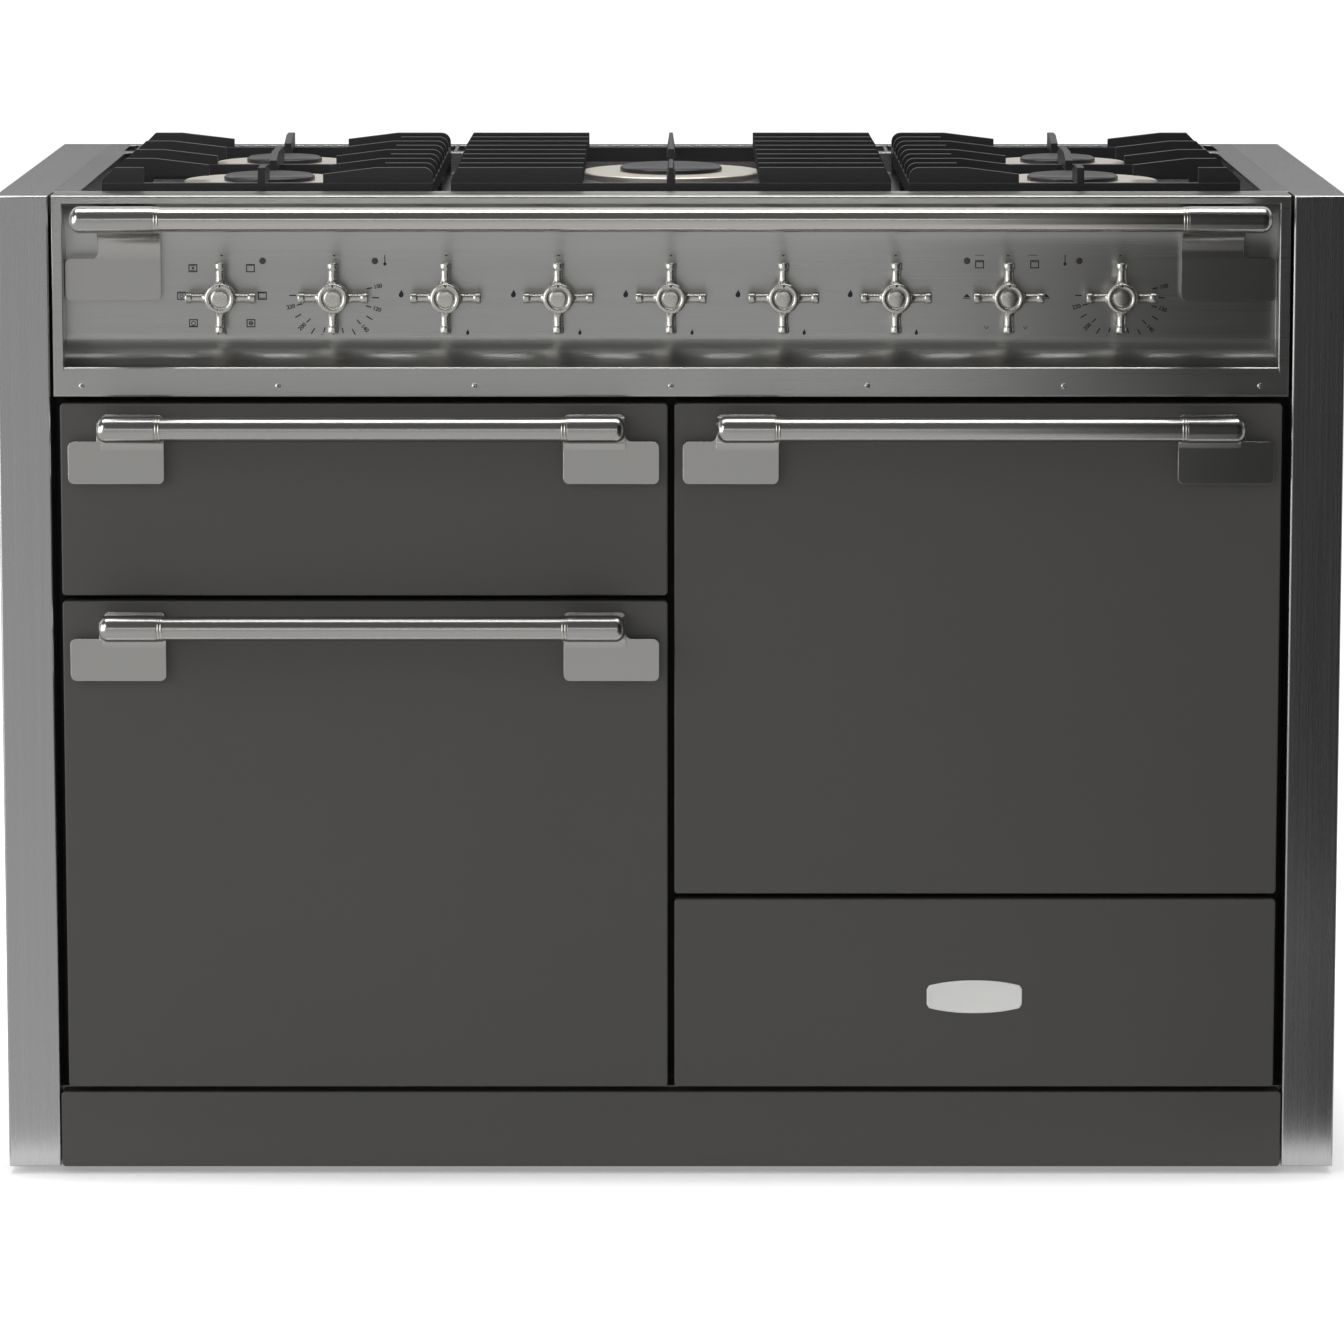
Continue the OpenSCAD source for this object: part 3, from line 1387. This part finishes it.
// Burner body: throat through the hob, foot on its floor and ring with flame ports
module burner_head(b) {
    ring = b[2];
    cap = b[3];
    ring_z = worktop_z - ring_t;
    foot = throat_r + 20;
    translate([b[0], by(b[1]), 0]) difference() {
        rotate_extrude() polygon([
            [throat_r - 3, hob_under_z - throat_l], [throat_r, hob_under_z - throat_l], [throat_r, well_z],
            [foot, well_z], [foot, well_z + 3], [ring - 10, ring_z - 2], [ring, ring_z],
            [ring, worktop_z - 1], [ring - 1, worktop_z], [cap - 6, worktop_z], [cap - 6, worktop_z - 3],
            [throat_r - 3, worktop_z - 3]
        ]);
        for (k = [0 : port_count - 1]) rotate([0, 0, k * 360 / port_count])
            translate([cap - 8, -1, worktop_z - 1.5]) cube([6, 2, 2]);
    }
}

module burner_heads() {
    color("gainsboro") for (b = burners) burner_head(b);
}

// Loose cap on each burner, with a spigot that centres it
module burner_caps() {
    color("black") for (b = burners) translate([b[0], by(b[1]), 0]) rotate_extrude() polygon([
        [0, worktop_z - 2.6], [b[3] - 7, worktop_z - 2.6], [b[3] - 7, worktop_z],
        [b[3], worktop_z], [b[3], worktop_z + cap_t - 2.5], [b[3] - 2.5, worktop_z + cap_t - 0.6],
        [b[3] - 8, worktop_z + cap_t], [0, worktop_z + cap_t]
    ]);
}

// Rib across the support: outline in X and Z on rib row k
module rib(k) {
    slab(row_d(k) - rib_t / 2, rib_t) children();
}

// Finger from the outer side towards the burner's line
module outer_finger() {
    out = side_support_out;
    tip = burner_x + 56;
    top = support_z;
    polygon([
        [out, base_rail_z], [out, top - 12], [out - 12, top], [out - 38, top], [tip, top - finger_drop],
        [tip, finger_z], [out - 37, finger_z], [out - 37, base_rail_z]
    ]);
}

// Finger from the comb towards the burner's line
module inner_finger() {
    root = side_support_in + comb_w;
    tip = burner_x - 56;
    top = support_z;
    polygon([
        [root - 2, base_rail_z], [root - 2, top], [root + 6, top], [tip, top - finger_drop],
        [tip, finger_z], [root + 18, finger_z], [root + 8, base_rail_z]
    ]);
}

// Short rib of the comb, rounded at its free end
module comb_rib() {
    r = 9;
    x = side_support_in;
    top = support_z;
    translate([x + r, base_rail_z]) square([comb_w - r, top - base_rail_z]);
    translate([x, base_rail_z]) square([comb_w, top - r - base_rail_z]);
    translate([x + r, top - r]) circle(r);
}

// Half of a blade on the burners' line, from its foot at depth a to its tip at depth b
module blade(a, b) {
    s = sign(b - a);
    slope = 30;
    top = support_z;
    profile(-rib_t / 2, rib_t) polygon([
        [a, base_rail_z], [a, top], [b - s * slope, top], [b, top - finger_drop], [b, finger_z],
        [a + s * base_rail_t, finger_z], [a + s * base_rail_t, base_rail_z]
    ]);
}

// Cast pan support over a front and a back burner
module side_support() {
    x0 = side_support_in;
    x1 = side_support_out;
    xr = x0 + comb_w;
    l = support_back_d - support_front_d;
    t = base_rail_t;
    color([0.12, 0.12, 0.13]) {
        // Base rails and their feet
        for (x = [x0, xr - t, x1 - t]) box(x, support_front_d, base_rail_z, t, l, base_rail_h);
        for (k = [0, middle_row, rib_rows - 1])
            box(x0, row_d(k) - t / 2, base_rail_z, x1 - x0, t, base_rail_h);
        for (x = [x0 + t / 2, x1 - t / 2], k = [0, middle_row, rib_rows - 1])
            rod_z(x, row_d(k), well_z, base_rail_z + eps, t / 2);
        for (k = [0 : rib_rows - 1]) rib(k) comb_rib();
        // Fingers at the burners and on the front, middle and back rails
        for (k = [front_row, middle_row, back_row, rib_rows - 1]) {
            rib(k) outer_finger();
            rib(k) inner_finger();
        }
        rib(0) intersection() {
            outer_finger();
            translate([x1 - 38, base_rail_z]) square([38, base_rail_h + support_rise]);
        }
        rib(0) inner_finger();
        translate([burner_x, 0, 0]) {
            blade(support_front_d, row_d(1) + 8);
            blade(row_d(middle_row) + t / 2, row_d(3) - 4);
            blade(row_d(middle_row) - t / 2, row_d(5) + 4);
            blade(support_back_d, row_d(7) - 6);
        }
    }
}

module pan_support_right() {
    side_support();
}

module pan_support_left() {
    mirror([1, 0, 0]) side_support();
}

// Wedge-shaped blade of the centre support, from its foot at depth a to its tip at depth b
module centre_blade(a, b) {
    s = sign(b - a);
    slope = 34;
    top = support_z;
    intersection() {
        profile(-10, 20) polygon([
            [a, base_rail_z], [a, top], [b - s * slope, top], [b, top - finger_drop], [b, finger_z],
            [a + s * base_rail_t, finger_z], [a + s * base_rail_t, base_rail_z]
        ]);
        slab(min(a, b) - eps, abs(b - a) + 2 * eps) polygon([
            [-6, base_rail_z - eps], [6, base_rail_z - eps], [1.6, top + eps], [-1.6, top + eps]
        ]);
    }
}

// Cast pan support over the centre burner, with a bank of ribs at each side
module pan_support_centre() {
    out = centre_support_out;
    in = centre_support_in;
    t = base_rail_t;
    rail_x = wok_ring_r + 8;
    l = support_back_d - support_front_d;
    top = support_z;
    color([0.12, 0.12, 0.13]) {
        both_sides() {
            for (x = [rail_x, out - t]) box(x, support_front_d, base_rail_z, t, l, base_rail_h);
            for (k = [0 : rib_rows - 1]) rib(k) polygon([
                [out, base_rail_z], [out, top - 11], [out - 6.5, top], [in, top], [in, finger_z],
                [rail_x, finger_z], [rail_x, base_rail_z]
            ]);
            for (k = [0, middle_row, rib_rows - 1])
                rod_z(out - t / 2, row_d(k), well_z, base_rail_z + eps, t / 2);
        }
        for (k = [0, rib_rows - 1]) box(-out, row_d(k) - t / 2, base_rail_z, 2 * out, t, base_rail_h);
        centre_blade(support_front_d, row_d(3) - 30);
        centre_blade(support_back_d, row_d(5) + 30);
    }
}

side_panel_left();
side_panel_right();
plinth();
base_pan();
feet();
rear_panel();
front_frame();
fascia();
fascia_rail();
fascia_rail_brackets();
hob_tray();
vent_grille();
burner_heads();
burner_caps();
pan_support_left();
pan_support_centre();
pan_support_right();
gas_manifold();
gas_pipes();
control_switches();
indicator_lamps();
grill_cavity();
left_oven_cavity();
right_oven_cavity();
insulation_jackets();
heating_elements();
fan_baffles();
fan_motors();
oven_racks();
grill_pan();
door_seals();
door_hinges();
drawer_runners();
door_panel(grill_door);  // grill_door_panel
door_liner(grill_door);  // grill_door_liner
door_handle(grill_door);  // grill_door_handle
door_panel(left_door);  // left_door_panel
door_liner(left_door);  // left_door_liner
door_handle(left_door);  // left_door_handle
door_panel(right_door);  // right_door_panel
door_liner(right_door);  // right_door_liner
door_handle(right_door);  // right_door_handle
drawer_front();
drawer_box();
knob(1);  // knob_1
knob(2);  // knob_2
knob(3);  // knob_3
knob(4);  // knob_4
knob(5);  // knob_5
knob(6);  // knob_6
knob(7);  // knob_7
knob(8);  // knob_8
knob(9);  // knob_9
tap_plug(3);  // tap_plug_3
tap_plug(4);  // tap_plug_4
tap_plug(5);  // tap_plug_5
tap_plug(6);  // tap_plug_6
tap_plug(7);  // tap_plug_7
oven_fan(left_hole);  // left_oven_fan
oven_fan(right_hole);  // right_oven_fan
